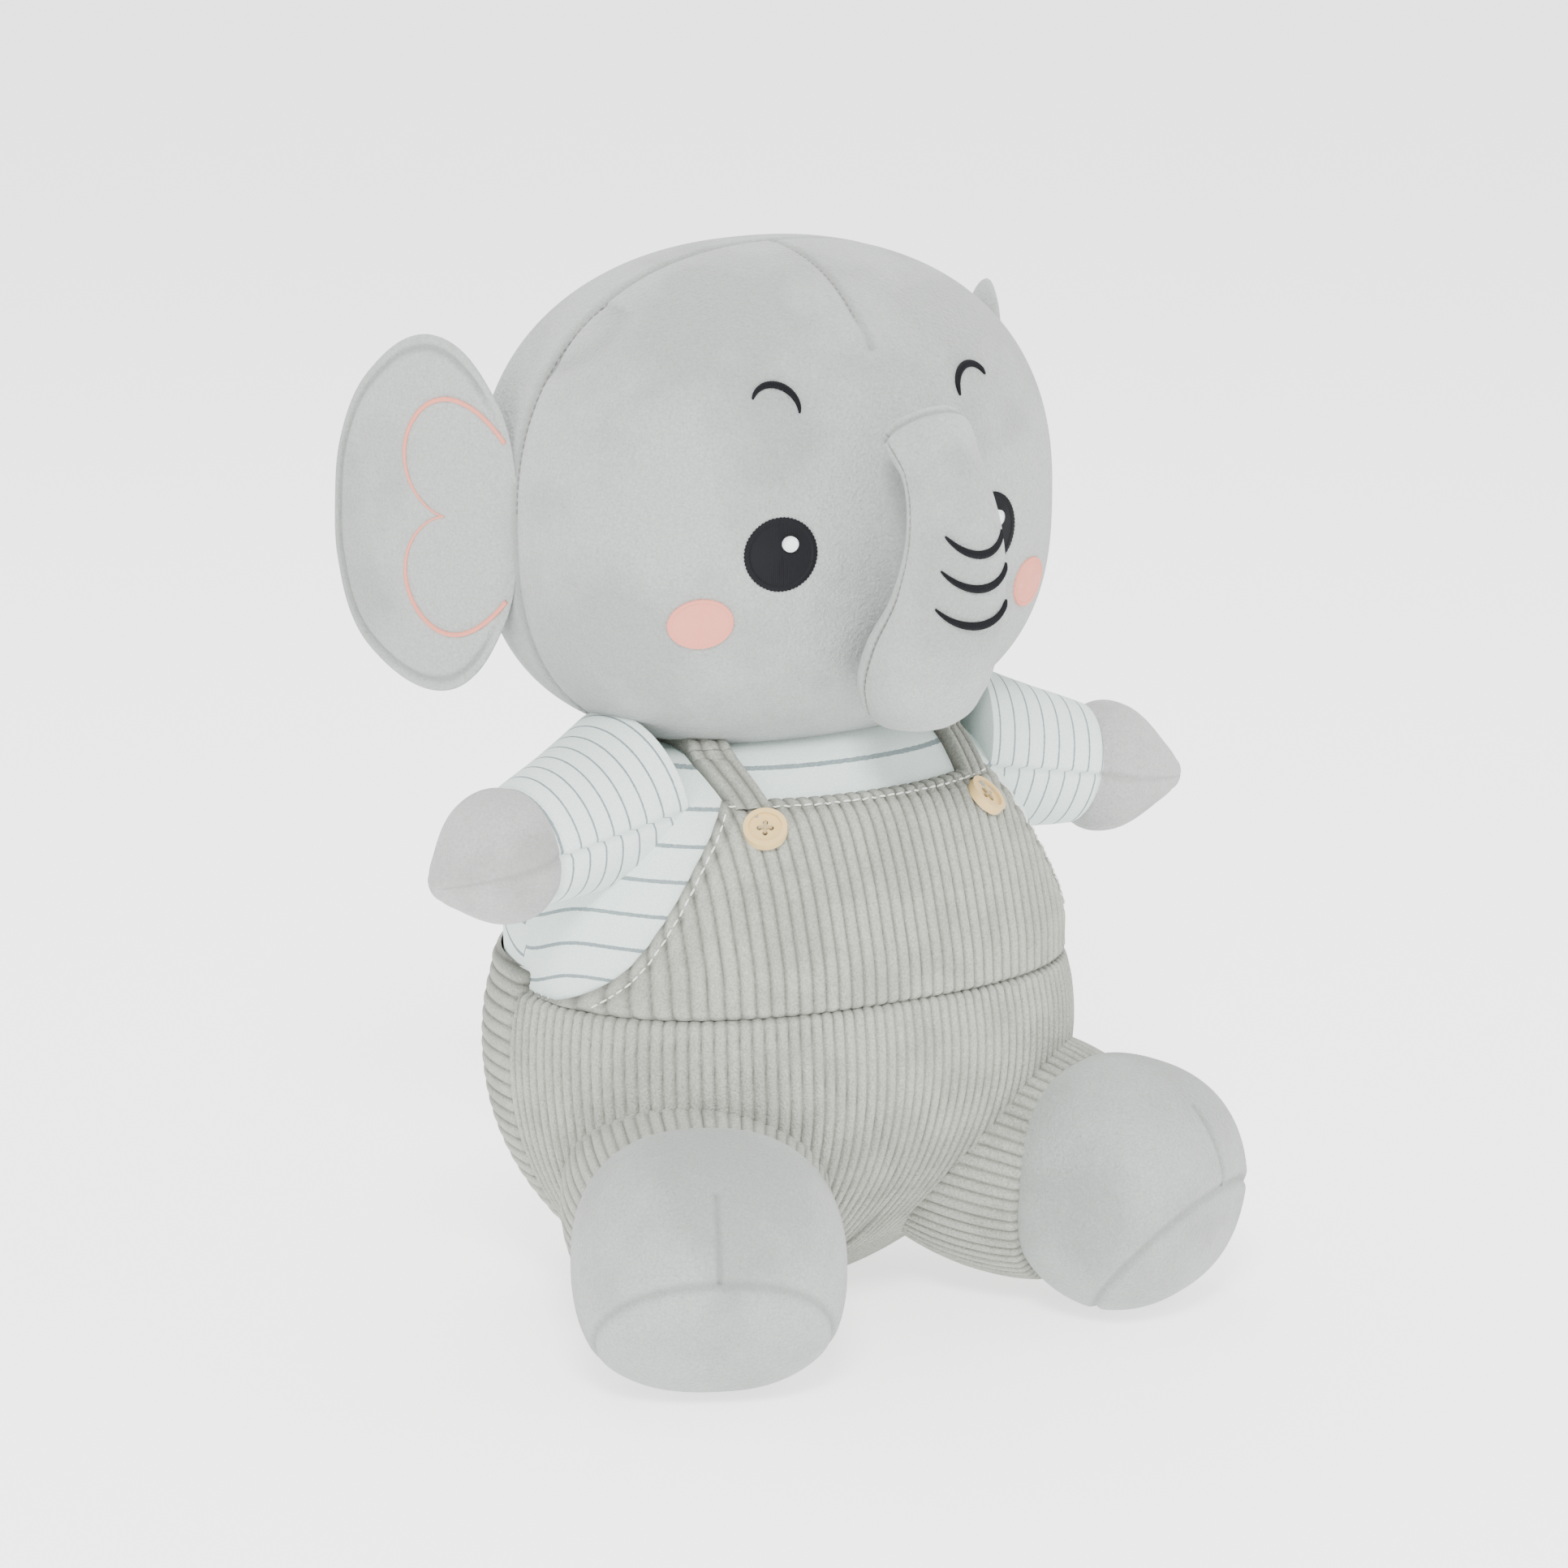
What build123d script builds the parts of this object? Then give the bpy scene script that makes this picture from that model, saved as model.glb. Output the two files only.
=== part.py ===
from build123d import *
from math import cos, sin, radians, sqrt, atan2, degrees
import os

os.makedirs("parts", exist_ok=True)

# Driving dimensions, in mm. The elephant sits on Z = 0 and faces -Y; its own left is +X.
skin, gap = 1.6, 0.3
head_mid, head_r, head_long = (0, 4, 236), 67.0, 84.0
head_seam_y, neck_z = 8.0, 170.0
body_mid_y, body_seam_y, waist_z = 4.0, -7.0, 100.0
body_profile = [(0, 44), (12, 60), (30, 71), (55, 77), (75, 79), (100, 78), (125, 73), (146, 62), (160, 48), (168.6, 34)]
bib_top_z, bib_top_half, bib_low_half = 156.0, 43.0, 68.0
strap_x, strap_wide = 37.0, 11.0
button_r, button_thick, button_z = 6.2, 2.6, 150.0
shoulder, arm_points_to = (69, -4, 150), (127, -18, 140)
arm_r, sleeve_len, arm_len = 18.0, 28.0, 59.0
hip, leg_points_to = (58, -49, 36), (71, -73, 36)
leg_r, foot_r, hem_at, foot_at, foot_end = 28.0, 36.0, 13.0, 31.0, 64.0
ear_pivot, ear_sweep, ear_half, ear_thick = (87, 8, 236), 47.0, (28.5, 51.0), 8.0
trunk_low, trunk_high, trunk_r = (0, -87, 183), (0, -89, 272), 18.0
eye_at, eye_r = (35.0, 236.0), 10.3
cheek_at, cheek_half = (56.0, 216.0), (7.2, 6.8)
brow_at, brow_r = (32.0, 272.0), 7.0
mouth_at, mouth_r = (20.0, 196.0), 8.5
wide = (-300, 300)


def block(x, y, z):
    """A box from three (low, high) pairs."""
    return Pos((x[0] + x[1]) / 2, (y[0] + y[1]) / 2, (z[0] + z[1]) / 2) * Box(x[1] - x[0], y[1] - y[0], z[1] - z[0])


def save(shape, name):
    solid = sorted(shape.solids(), key=lambda s: -s.volume)[0]
    export_step(solid, f"parts/{name}.step")


def spindle(points, plane):
    """A closed solid of revolution about the plane's Z from (s, radius) points that start and end on the axis."""
    edge = Spline(*[(r, 0, s) for s, r in points], tangents=[(1, 0, 0), (-1, 0, 0)])
    return plane * revolve(make_face(Wire([edge, Line((0, 0, points[-1][0]), (0, 0, points[0][0]))])), Axis.Z, 360)


def along(start, end):
    """A plane at start whose Z points to end."""
    z = (Vector(*end) - Vector(*start)).normalized()
    return Plane(origin=start, x_dir=(1, 0, 0) if abs(z.X) < 0.8 else (0, 0, 1), z_dir=z)


def both(point, s):
    return (s * point[0], point[1], point[2])


def body_shape(grow):
    points = [(z, r + grow) for z, r in body_profile]
    points[0] = (max(0.0, -grow), points[0][1])
    points[-1] = (body_profile[-1][0] + grow, points[-1][1])
    edge = Spline(*[(r, 0, z) for z, r in points])
    lines = [edge, Line((points[-1][1], 0, points[-1][0]), (0, 0, points[-1][0])),
             Line((0, 0, points[-1][0]), (0, 0, points[0][0])), Line((0, 0, points[0][0]), (points[0][1], 0, points[0][0]))]
    return Pos(0, body_mid_y, 0) * revolve(make_face(Wire(lines)), Axis.Z, 360)


def head_shape(grow):
    """The head, round seen from the side and longer across."""
    points = []
    for i in range(13):
        t = radians(-90 + 15 * i)
        points.append(((head_long + grow) * sin(t), (head_r + grow) * cos(t) if 0 < i < 12 else 0))
    return spindle(points, Plane(origin=head_mid, x_dir=(0, 1, 0), z_dir=(1, 0, 0)))


def arm_shape(grow, s):
    r = arm_r + grow
    points = [(-r, 0), (-0.707 * r, 0.707 * r), (0, r), (sleeve_len, r - 1.5), (arm_len - 12, r - 6), (arm_len + grow, 0)]
    return spindle(points, along(both(shoulder, s), both(arm_points_to, s)))


def leg_shape(grow, s):
    r, f = leg_r + grow, foot_r + grow
    points = [(-r, 0), (-0.707 * r, 0.707 * r), (0, r), (hem_at, r + 4), (foot_at, f), (foot_at + 0.6 * f, 0.8 * f),
              (foot_end + grow, 0)]
    return spindle(points, along(both(hip, s), both(leg_points_to, s)))


def trunk_shape(grow):
    plane = along(trunk_low, trunk_high)
    r, end = trunk_r + grow, trunk_high[2] - trunk_low[2] + grow
    points = [(-grow, 0), (5, 0.72 * r), (20, r), (50, r - 1), (75, r - 3.5), (end, 0)]
    return spindle(points, plane)


# Body: stuffing inside two shirt panels and two dungaree panels, with bib, straps and buttons over them.
sockets = [Pos(*both(shoulder, s)) * Sphere(arm_r + 2.5) for s in (1, -1)]
hips = [Pos(*both(hip, s)) * Sphere(leg_r + 3.5) for s in (1, -1)]
stuffing = body_shape(-skin - gap)
shell = body_shape(0) - body_shape(-skin)
over = body_shape(gap + skin) - body_shape(gap)
front, back = (-300, body_seam_y - gap / 2), (body_seam_y + gap / 2, 300)
low, high = (-5, waist_z - gap / 2), (waist_z + gap / 2, 300)
save(stuffing.cut(*sockets, *hips), "torso_stuffing")
save((shell & block(wide, front, low)).cut(*hips), "dungaree_front")
save((shell & block(wide, back, low)).cut(*hips), "dungaree_back")
save((shell & block(wide, front, high)).cut(*sockets), "shirt_front")
save((shell & block(wide, back, high)).cut(*sockets), "shirt_back")
outline = make_face(Wire([
    Line((-bib_low_half, waist_z + 1), (bib_low_half, waist_z + 1)),
    Line((bib_low_half, waist_z + 1), (bib_top_half, bib_top_z)),
    Line((bib_top_half, bib_top_z), (-bib_top_half, bib_top_z)),
    Line((-bib_top_half, bib_top_z), (-bib_low_half, waist_z + 1))]))
save((over & extrude(Plane.XZ * outline, amount=120)).cut(*sockets), "bib")


def body_r(z):
    """Radius of the body at height z, between the profile's points."""
    for (z0, r0), (z1, r1) in zip(body_profile, body_profile[1:]):
        if z0 <= z <= z1:
            return r0 + (r1 - r0) * (z - z0) / (z1 - z0), (r1 - r0) / (z1 - z0)
    return body_profile[-1][1], 0


for s, n in ((1, "left"), (-1, "right")):
    x = (s * strap_x - strap_wide / 2, s * strap_x + strap_wide / 2)
    save((over & (block(x, wide, (bib_top_z + gap, 300)) + block(x, (body_mid_y, 300), (waist_z, 300)))).cut(*sockets),
         f"strap_{n}")
    r, slope = body_r(button_z)
    r += 2 * skin + 2.2
    y = -sqrt(r * r - strap_x ** 2)
    normal = Vector(s * strap_x / r, y / r, -slope).normalized()
    plane = Plane(origin=(s * strap_x, body_mid_y + y, button_z), x_dir=Vector(0, 0, 1).cross(normal), z_dir=normal)
    up = (Align.CENTER, Align.CENTER, Align.MIN)
    disc = Cylinder(button_r, button_thick, align=up) - Pos(0, 0, button_thick - 0.8) * Cylinder(button_r - 1.5, 2, align=up)
    holes = [(1.7, 0), (-1.7, 0), (0, 1.7), (0, -1.7)]
    save(plane * disc.cut(*[Pos(a, b, 0) * Cylinder(0.75, 8) for a, b in holes]), f"button_{n}")
    thread = Pos(0, 0, button_thick - 0.7) * (Box(3.8, 0.8, 0.5, align=up) + Box(0.8, 3.8, 0.5, align=up))
    save(plane * thread, f"button_thread_{n}")

# Head: stuffing inside a face panel and a back panel, with flat embroidery on the face.
room = block(wide, wide, (neck_z, 400))
shell = (head_shape(0) - head_shape(-skin)) & room
save(head_shape(-skin - gap) & block(wide, wide, (neck_z + skin, 400)), "head_stuffing")
save(shell & block(wide, (-300, head_seam_y - gap / 2), (0, 400)), "face_panel")
save(shell & block(wide, (head_seam_y + gap / 2, 300), (0, 400)), "head_back_panel")
thread = (head_shape(0.9) - head_shape(0.1)) & block(wide, (-200, -5), (0, 400))
light = (head_shape(1.7) - head_shape(1.0)) & block(wide, (-200, -5), (0, 400))


def column(x, z, rx, rz, thick=0):
    """A round bar along Y, or a tube of that wall."""
    plane = Plane((x, 0, z), x_dir=(1, 0, 0), z_dir=(0, -1, 0))
    bar = extrude(plane * Ellipse(rx, rz), amount=120)
    return bar - extrude(plane * Ellipse(rx - thick, rz - thick), amount=120) if thick else bar


for s, n in ((1, "left"), (-1, "right")):
    save(thread & column(s * eye_at[0], eye_at[1], eye_r, eye_r + 0.1), f"eye_{n}")
    save(light & column(s * eye_at[0] + 1.5, eye_at[1] + 3, 2.1, 2.3), f"eye_light_{n}")
    save(thread & column(s * cheek_at[0], cheek_at[1], *cheek_half), f"cheek_{n}")
    save(thread & column(s * brow_at[0], brow_at[1], brow_r, brow_r - 0.1, 1.4) & block(wide, wide, (brow_at[1] + 1.5, 400)),
         f"brow_{n}")
save(thread & column(*mouth_at, mouth_r, mouth_r - 0.1, 1.3) & block(wide, wide, (0, mouth_at[1] - 3)), "mouth")

# Trunk: stuffing, a front panel with three stitched creases, a back panel and a flat tip.
tip = block(wide, wide, (trunk_high[2] - 4, 400))
front = block(wide, (-300, trunk_low[1] + 4), (0, trunk_high[2] - 4 - gap))
back = block(wide, (trunk_low[1] + 4 + gap, 300), (0, trunk_high[2] - 4 - gap))
shell = trunk_shape(0) - trunk_shape(-skin)
save(trunk_shape(-skin - gap), "trunk_stuffing")
save(shell & front, "trunk_front_panel")
save(shell & back, "trunk_back_panel")
save(shell & tip, "trunk_tip")
raised = (trunk_shape(0.9) - trunk_shape(0.1)) & block(wide, (-300, trunk_low[1]), (0, 400))
for i in range(3):
    z = 256 - 11 * i
    save(raised & column(3, z, 14, 13.9, 1.6) & block((-10, 15), wide, (200, z - 8)), f"trunk_crease_{i + 1}")

# Ears, arms and legs.
for s, n in ((1, "left"), (-1, "right")):
    away = Vector(s * cos(radians(ear_sweep)), sin(radians(ear_sweep)), 0)
    face = Plane(origin=both(ear_pivot, s), x_dir=away, z_dir=Vector(s * sin(radians(ear_sweep)), -cos(radians(ear_sweep)), 0))
    a, b = ear_half
    mid = 3 + a
    save(face * Pos(mid, 0, -ear_thick / 2 + 2) * extrude(Ellipse(a - 1, b - 1), amount=ear_thick - 4), f"ear_padding_{n}")
    save(face * Pos(mid, 0, ear_thick / 2 - 2 + gap) * extrude(Ellipse(a, b), amount=2 - gap), f"ear_front_panel_{n}")
    save(face * Pos(mid, 0, -ear_thick / 2) * extrude(Ellipse(a, b), amount=2 - gap), f"ear_back_panel_{n}")
    lobes = Sketch() + [Pos(mid, v) * Circle(15.5) for v in (14, -14)]
    inside = Sketch() + [Pos(mid, v) * Circle(14.3) for v in (14, -14)]
    save(face * Pos(0, 0, ear_thick / 2 + 0.05) * extrude(lobes - inside, amount=0.7), f"ear_heart_{n}")

    plane = along(both(shoulder, s), both(arm_points_to, s))
    near, far = (Align.CENTER, Align.CENTER, Align.MAX), (Align.CENTER, Align.CENTER, Align.MIN)
    shell = arm_shape(0, s) - arm_shape(-skin, s)
    save(shell & (plane * (Pos(0, 0, sleeve_len - gap / 2) * Box(200, 200, 200, align=near))), f"sleeve_{n}")
    save(shell & (plane * (Pos(0, 0, sleeve_len + gap / 2) * Box(200, 200, 200, align=far))), f"hand_{n}")
    save(arm_shape(-skin - gap, s), f"arm_stuffing_{n}")

    plane = along(both(hip, s), both(leg_points_to, s))
    shell = leg_shape(0, s) - leg_shape(-skin, s)
    save(shell & (plane * (Pos(0, 0, hem_at - gap / 2) * Box(200, 200, 200, align=near))), f"trouser_leg_{n}")
    foot = shell & (plane * (Pos(0, 0, hem_at + gap / 2) * Box(200, 200, 200, align=far)))
    tread = (plane.z_dir * cos(radians(35)) + Vector(0, 0, -1) * sin(radians(35))).normalized()
    sole = Plane(origin=Vector(*leg_points_to if s > 0 else both(leg_points_to, -1)) + tread * 17, x_dir=(0, 0, 1), z_dir=tread)
    save(foot & (sole * (Pos(0, 0, gap / 2) * Box(200, 200, 200, align=far))), f"foot_sole_{n}")
    save(foot & (sole * (Pos(0, 0, -gap / 2) * Box(200, 200, 200, align=near))), f"foot_upper_{n}")
    save(leg_shape(-skin - gap, s), f"leg_stuffing_{n}")
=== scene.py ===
import bpy, bmesh
import numpy as np
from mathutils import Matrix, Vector


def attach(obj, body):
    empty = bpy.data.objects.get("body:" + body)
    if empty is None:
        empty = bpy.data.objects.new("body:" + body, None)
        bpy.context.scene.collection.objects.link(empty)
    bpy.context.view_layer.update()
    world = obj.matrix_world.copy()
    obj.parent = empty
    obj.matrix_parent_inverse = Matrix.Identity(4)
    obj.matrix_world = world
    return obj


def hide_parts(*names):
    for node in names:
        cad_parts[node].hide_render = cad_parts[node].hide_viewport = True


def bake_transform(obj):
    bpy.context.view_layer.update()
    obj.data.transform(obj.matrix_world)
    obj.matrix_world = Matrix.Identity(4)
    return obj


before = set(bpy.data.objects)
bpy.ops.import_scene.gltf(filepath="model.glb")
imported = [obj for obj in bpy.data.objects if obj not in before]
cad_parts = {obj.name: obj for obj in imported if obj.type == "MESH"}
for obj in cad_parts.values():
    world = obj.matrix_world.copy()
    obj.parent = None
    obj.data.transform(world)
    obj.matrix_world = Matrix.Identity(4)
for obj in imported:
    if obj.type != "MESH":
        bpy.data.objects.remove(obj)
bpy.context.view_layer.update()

mm = 0.001
sides = {"left": 1, "right": -1}


# a grid of points becomes a mesh; rows close on themselves when wrapped, and capped ends get one middle point
def gridMesh(name, points, material, wrap=True, caps=(False, False), flat=None, tone=None, flip=False):
    rows, cols = points.shape[:2]
    verts = points.reshape(-1, 3) * mm
    i, j = np.meshgrid(np.arange(rows - 1), np.arange(cols if wrap else cols - 1), indexing="ij")
    k = (j + 1) % cols
    quads = np.stack([i * cols + j, i * cols + k, (i + 1) * cols + k, (i + 1) * cols + j], -1).reshape(-1, 4)
    faces = [list(q) for q in quads]
    for end, row in ((0, 0), (1, rows - 1)):
        if caps[end]:
            middle = len(verts)
            verts = np.vstack([verts, points[row].mean(0)[None] * mm])
            ring = np.arange(cols) + row * cols
            after = np.roll(ring, -1)
            faces += [[a, middle, b] if end == 0 else [a, b, middle] for a, b in zip(ring, after)]
    if flip:
        faces = [f[::-1] for f in faces]
    mesh = bpy.data.meshes.new(name)
    mesh.from_pydata(verts.tolist(), [], [[int(x) for x in f] for f in faces])
    mesh.update()
    mesh.polygons.foreach_set("use_smooth", np.ones(len(mesh.polygons), bool))
    count = rows * cols
    index = np.zeros(len(mesh.loops), np.int32)
    mesh.loops.foreach_get("vertex_index", index)
    if flat is not None:
        uv = np.zeros((len(verts), 2))
        uv[:count] = flat.reshape(-1, 2)
        layer = mesh.uv_layers.new(name="flat")
        layer.data.foreach_set("uv", uv[index].astype(np.float32).ravel())
    shade = np.ones(len(verts), np.float32)
    if tone is not None:
        shade[:count] = tone.reshape(-1)
    mesh.attributes.new("tone", "FLOAT", "POINT").data.foreach_set("value", shade)
    obj = bpy.data.objects.new(name, mesh)
    bpy.context.scene.collection.objects.link(obj)
    mesh.materials.append(material)
    return obj


# a smooth curve through rows of numbers, by cubic steps between them
def smooth(xs, ys, x):
    xs, ys, x = np.asarray(xs, float), np.asarray(ys, float), np.asarray(x, float)
    slope = np.gradient(ys, xs)
    k = np.clip(np.searchsorted(xs, x, side="right") - 1, 0, len(xs) - 2)
    h = xs[k + 1] - xs[k]
    t = np.clip((x - xs[k]) / h, 0, 1)
    return ((2 * t**3 - 3 * t**2 + 1) * ys[k] + (t**3 - 2 * t**2 + t) * h * slope[k]
            + (3 * t**2 - 2 * t**3) * ys[k + 1] + (t**3 - t**2) * h * slope[k + 1])


# a soft valley: 1 on the line and 0 beyond its width
def valley(distance, width):
    return np.exp(-(distance / width) ** 2)


# slow bumps from a few sine waves, for cloth that is not quite even
def lumps(p, seed, size):
    rng = np.random.default_rng(seed)
    total = 0
    for n in range(6):
        total = total + np.sin(p @ (rng.normal(size=3) / size) + rng.uniform(0, 6.28))
    return total / 6


# the direction square to a grid of points, from its two slopes
def normalsOf(points):
    du, dv = np.gradient(points, axis=0), np.gradient(points, axis=1)
    n = np.cross(du, dv)
    return n / np.maximum(np.linalg.norm(n, axis=-1, keepdims=True), 1e-9)


# the same, turned so that the point named looks the way given
def facing(points, row, col, way):
    n = normalsOf(points)
    return n if (n[row, col] * np.array(way)).sum() >= 0 else -n


print("stage: materials")


# an empty principled material and what is needed to wire it
def newMaterial(name):
    mat = bpy.data.materials.new(name)
    mat.use_nodes = True
    return mat, mat.node_tree.nodes, mat.node_tree.links, mat.node_tree.nodes["Principled BSDF"]


# one colour over another by a factor; each may be a value or a socket
def mixColour(nodes, links, factor, a, b):
    mix = nodes.new("ShaderNodeMix")
    mix.data_type = "RGBA"
    for socket, value in ((mix.inputs[0], factor), (mix.inputs[6], a), (mix.inputs[7], b)):
        if isinstance(value, bpy.types.NodeSocket):
            links.new(value, socket)
        else:
            socket.default_value = value if isinstance(value, float) else (*value, 1)
    return mix.outputs[2]


# one step of arithmetic between values or sockets
def mathNode(nodes, links, kind, a, b=0.0, c=0.0):
    node = nodes.new("ShaderNodeMath")
    node.operation = kind
    for socket, value in zip(node.inputs, (a, b, c)):
        if isinstance(value, bpy.types.NodeSocket):
            links.new(value, socket)
        else:
            socket.default_value = value
    return node.outputs[0]


# cloudy noise that stays with the piece
def noise(nodes, links, scale, detail=3.0, rough=0.6):
    coord = nodes.new("ShaderNodeTexCoord")
    n = nodes.new("ShaderNodeTexNoise")
    n.inputs["Scale"].default_value = scale
    n.inputs["Detail"].default_value = detail
    n.inputs["Roughness"].default_value = rough
    links.new(coord.outputs["Object"], n.inputs["Vector"])
    return n.outputs["Fac"]


# cloth: a main colour, a darker one painted into the hollows as painted shade, brushed patches, fine pile in the
# bump
def clothMaterial(name, colour, dark, patch, grain, depth, sheen, stripes=None):
    mat, nodes, links, shader = newMaterial(name)
    # the tone attribute mixes in the darker colour: painted shade in seams, folds and between ribs
    tone = nodes.new("ShaderNodeAttribute")
    tone.attribute_name = "tone"
    base = mixColour(nodes, links, tone.outputs["Fac"], dark, colour)
    if stripes:
        uv = nodes.new("ShaderNodeUVMap")
        uv.uv_map = "flat"
        split = nodes.new("ShaderNodeSeparateXYZ")
        links.new(uv.outputs[0], split.inputs[0])
        wobble = mathNode(nodes, links, "MULTIPLY", noise(nodes, links, 900.0), 0.05)
        phase = mathNode(nodes, links, "FRACT", mathNode(nodes, links, "ADD", split.outputs[1], wobble))
        off = mathNode(nodes, links, "ABSOLUTE", mathNode(nodes, links, "SUBTRACT", phase, 0.5))
        band = mathNode(nodes, links, "LESS_THAN", off, stripes["share"])
        turns = mathNode(nodes, links, "MULTIPLY", split.outputs[0], stripes["ribs"])
        rib = mathNode(nodes, links, "SINE", turns)
        knit = mathNode(nodes, links, "MULTIPLY_ADD", rib, 0.05, 0.06)
        line = mathNode(nodes, links, "MULTIPLY", band, 0.85)
        base = mixColour(nodes, links, knit, base, stripes["shadow"])
        base = mixColour(nodes, links, line, base, stripes["colour"])
    patches = nodes.new("ShaderNodeMapRange")
    links.new(noise(nodes, links, patch[0], 4.0, 0.55), patches.inputs[0])
    patches.inputs[1].default_value, patches.inputs[2].default_value = 0.45, 0.6
    patches.inputs[3].default_value, patches.inputs[4].default_value = 0.0, patch[1]
    base = mixColour(nodes, links, patches.outputs[0], base, dark)
    fine = noise(nodes, links, grain * 1.6, 2.0, 0.7)
    speck = nodes.new("ShaderNodeMapRange")
    links.new(fine, speck.inputs[0])
    speck.inputs[1].default_value, speck.inputs[2].default_value = 0.3, 0.75
    speck.inputs[3].default_value, speck.inputs[4].default_value = 0.0, 0.55
    links.new(mixColour(nodes, links, speck.outputs[0], base, dark), shader.inputs["Base Color"])
    bump = nodes.new("ShaderNodeBump")
    bump.inputs["Strength"].default_value = depth
    bump.inputs["Distance"].default_value = 0.0016
    links.new(noise(nodes, links, grain, 3.0, 0.7), bump.inputs["Height"])
    links.new(bump.outputs[0], shader.inputs["Normal"])
    shader.inputs["Roughness"].default_value = 0.92
    shader.inputs["Specular IOR Level"].default_value = 0.15
    shader.inputs["Sheen Weight"].default_value = sheen
    shader.inputs["Sheen Roughness"].default_value = 0.45
    return mat


# thread, wood or paint: one colour, slightly uneven, with a fine grain
def plainMaterial(name, colour, rough, sheen=0.0, coat=0.0, grain=(1500.0, 0.15)):
    mat, nodes, links, shader = newMaterial(name)
    fac = noise(nodes, links, grain[0])
    uneven = mathNode(nodes, links, "MULTIPLY", fac, 0.3)
    darker = tuple(c * 0.7 for c in colour)
    links.new(mixColour(nodes, links, uneven, colour, darker), shader.inputs["Base Color"])
    bump = nodes.new("ShaderNodeBump")
    bump.inputs["Strength"].default_value = grain[1]
    bump.inputs["Distance"].default_value = 0.0003
    links.new(fac, bump.inputs["Height"])
    links.new(bump.outputs[0], shader.inputs["Normal"])
    shader.inputs["Roughness"].default_value = rough
    shader.inputs["Specular IOR Level"].default_value = 0.25
    shader.inputs["Sheen Weight"].default_value = sheen
    shader.inputs["Coat Weight"].default_value = coat
    return mat


# the second colour of each cloth is painted shade in hollows and seams, and also the colour of its random patches
# and specks
plush = clothMaterial("plush", (0.42, 0.455, 0.435), (0.22, 0.232, 0.222), (20.0, 0.45), 800.0, 0.8, 0.3)
plushHands = clothMaterial("plushHands", (0.45, 0.455, 0.445), (0.26, 0.256, 0.25), (30.0, 0.55),
                           750.0, 0.8, 0.3)
corduroy = clothMaterial("corduroy", (0.50, 0.52, 0.455), (0.11, 0.11, 0.092), (60.0, 0.2), 1000.0, 0.9, 0.15)
shirtLook = {"share": 0.055, "ribs": 44.0, "shadow": (0.42, 0.5, 0.48), "colour": (0.04, 0.065, 0.09)}
shirt = clothMaterial("shirtKnit", (0.74, 0.85, 0.81), (0.42, 0.49, 0.47), (60.0, 0.05),
                      1500.0, 0.2, 0.05, shirtLook)
blackThread = plainMaterial("blackThread", (0.002, 0.0025, 0.004), 0.75)
whiteThread = plainMaterial("whiteThread", (0.85, 0.86, 0.88), 0.5)
pinkThread = plainMaterial("pinkThread", (0.72, 0.27, 0.20), 0.5)
seamThread = plainMaterial("seamThread", (0.22, 0.215, 0.20), 0.8)
paleThread = plainMaterial("paleThread", (0.72, 0.74, 0.68), 0.7)
wood = plainMaterial("wood", (0.74, 0.52, 0.22), 0.42, coat=0.25, grain=(500.0, 0.05))
buttonThread = plainMaterial("buttonThread", (0.42, 0.33, 0.18), 0.8)

# Rounded body: each level is a soft-cornered oval with its own half width and half depth.
bodyLook = {"z": [0, 6, 14, 30, 50, 70, 88, 100, 112, 125, 140, 150, 160, 168, 173],
            "wide": [26, 38, 50, 66, 79, 84.5, 84, 81.5, 81.5, 79, 74, 69, 60, 46, 30],
            "deep": [20, 29, 38, 53, 65, 70.5, 71, 69, 68.5, 65, 60, 55.5, 47, 37, 25],
            "midY": [22, 20, 17, 12, 6, 3, 2.5, 2.5, 2.5, 3, 4, 4, 4, 4, 4], "corner": 2.25}


# point of the body at angle a (0 faces front, positive to its left) and height z, moved out by lift
def bodyPoint(a, z, lift=0.0):
    look = bodyLook
    wide, deep = smooth(look["z"], look["wide"], z), smooth(look["z"], look["deep"], z)
    s, c = np.sin(a), np.cos(a)
    n = look["corner"]
    r = (np.abs(s / (wide + lift)) ** n + np.abs(c / (deep + lift)) ** n) ** (-1 / n)
    return np.stack([r * s, smooth(look["z"], look["midY"], z) - r * c, z + 0 * a], -1)


# the wanted x on the front of the body gives the angle, by a few steps of halving
def angleAt(x, z):
    lo, hi = np.zeros_like(x) - 1.57, np.zeros_like(x) + 1.57
    for _ in range(26):
        mid = (lo + hi) / 2
        less = bodyPoint(mid, z)[..., 0] < x
        lo, hi = np.where(less, mid, lo), np.where(less, hi, mid)
    return (lo + hi) / 2


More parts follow.
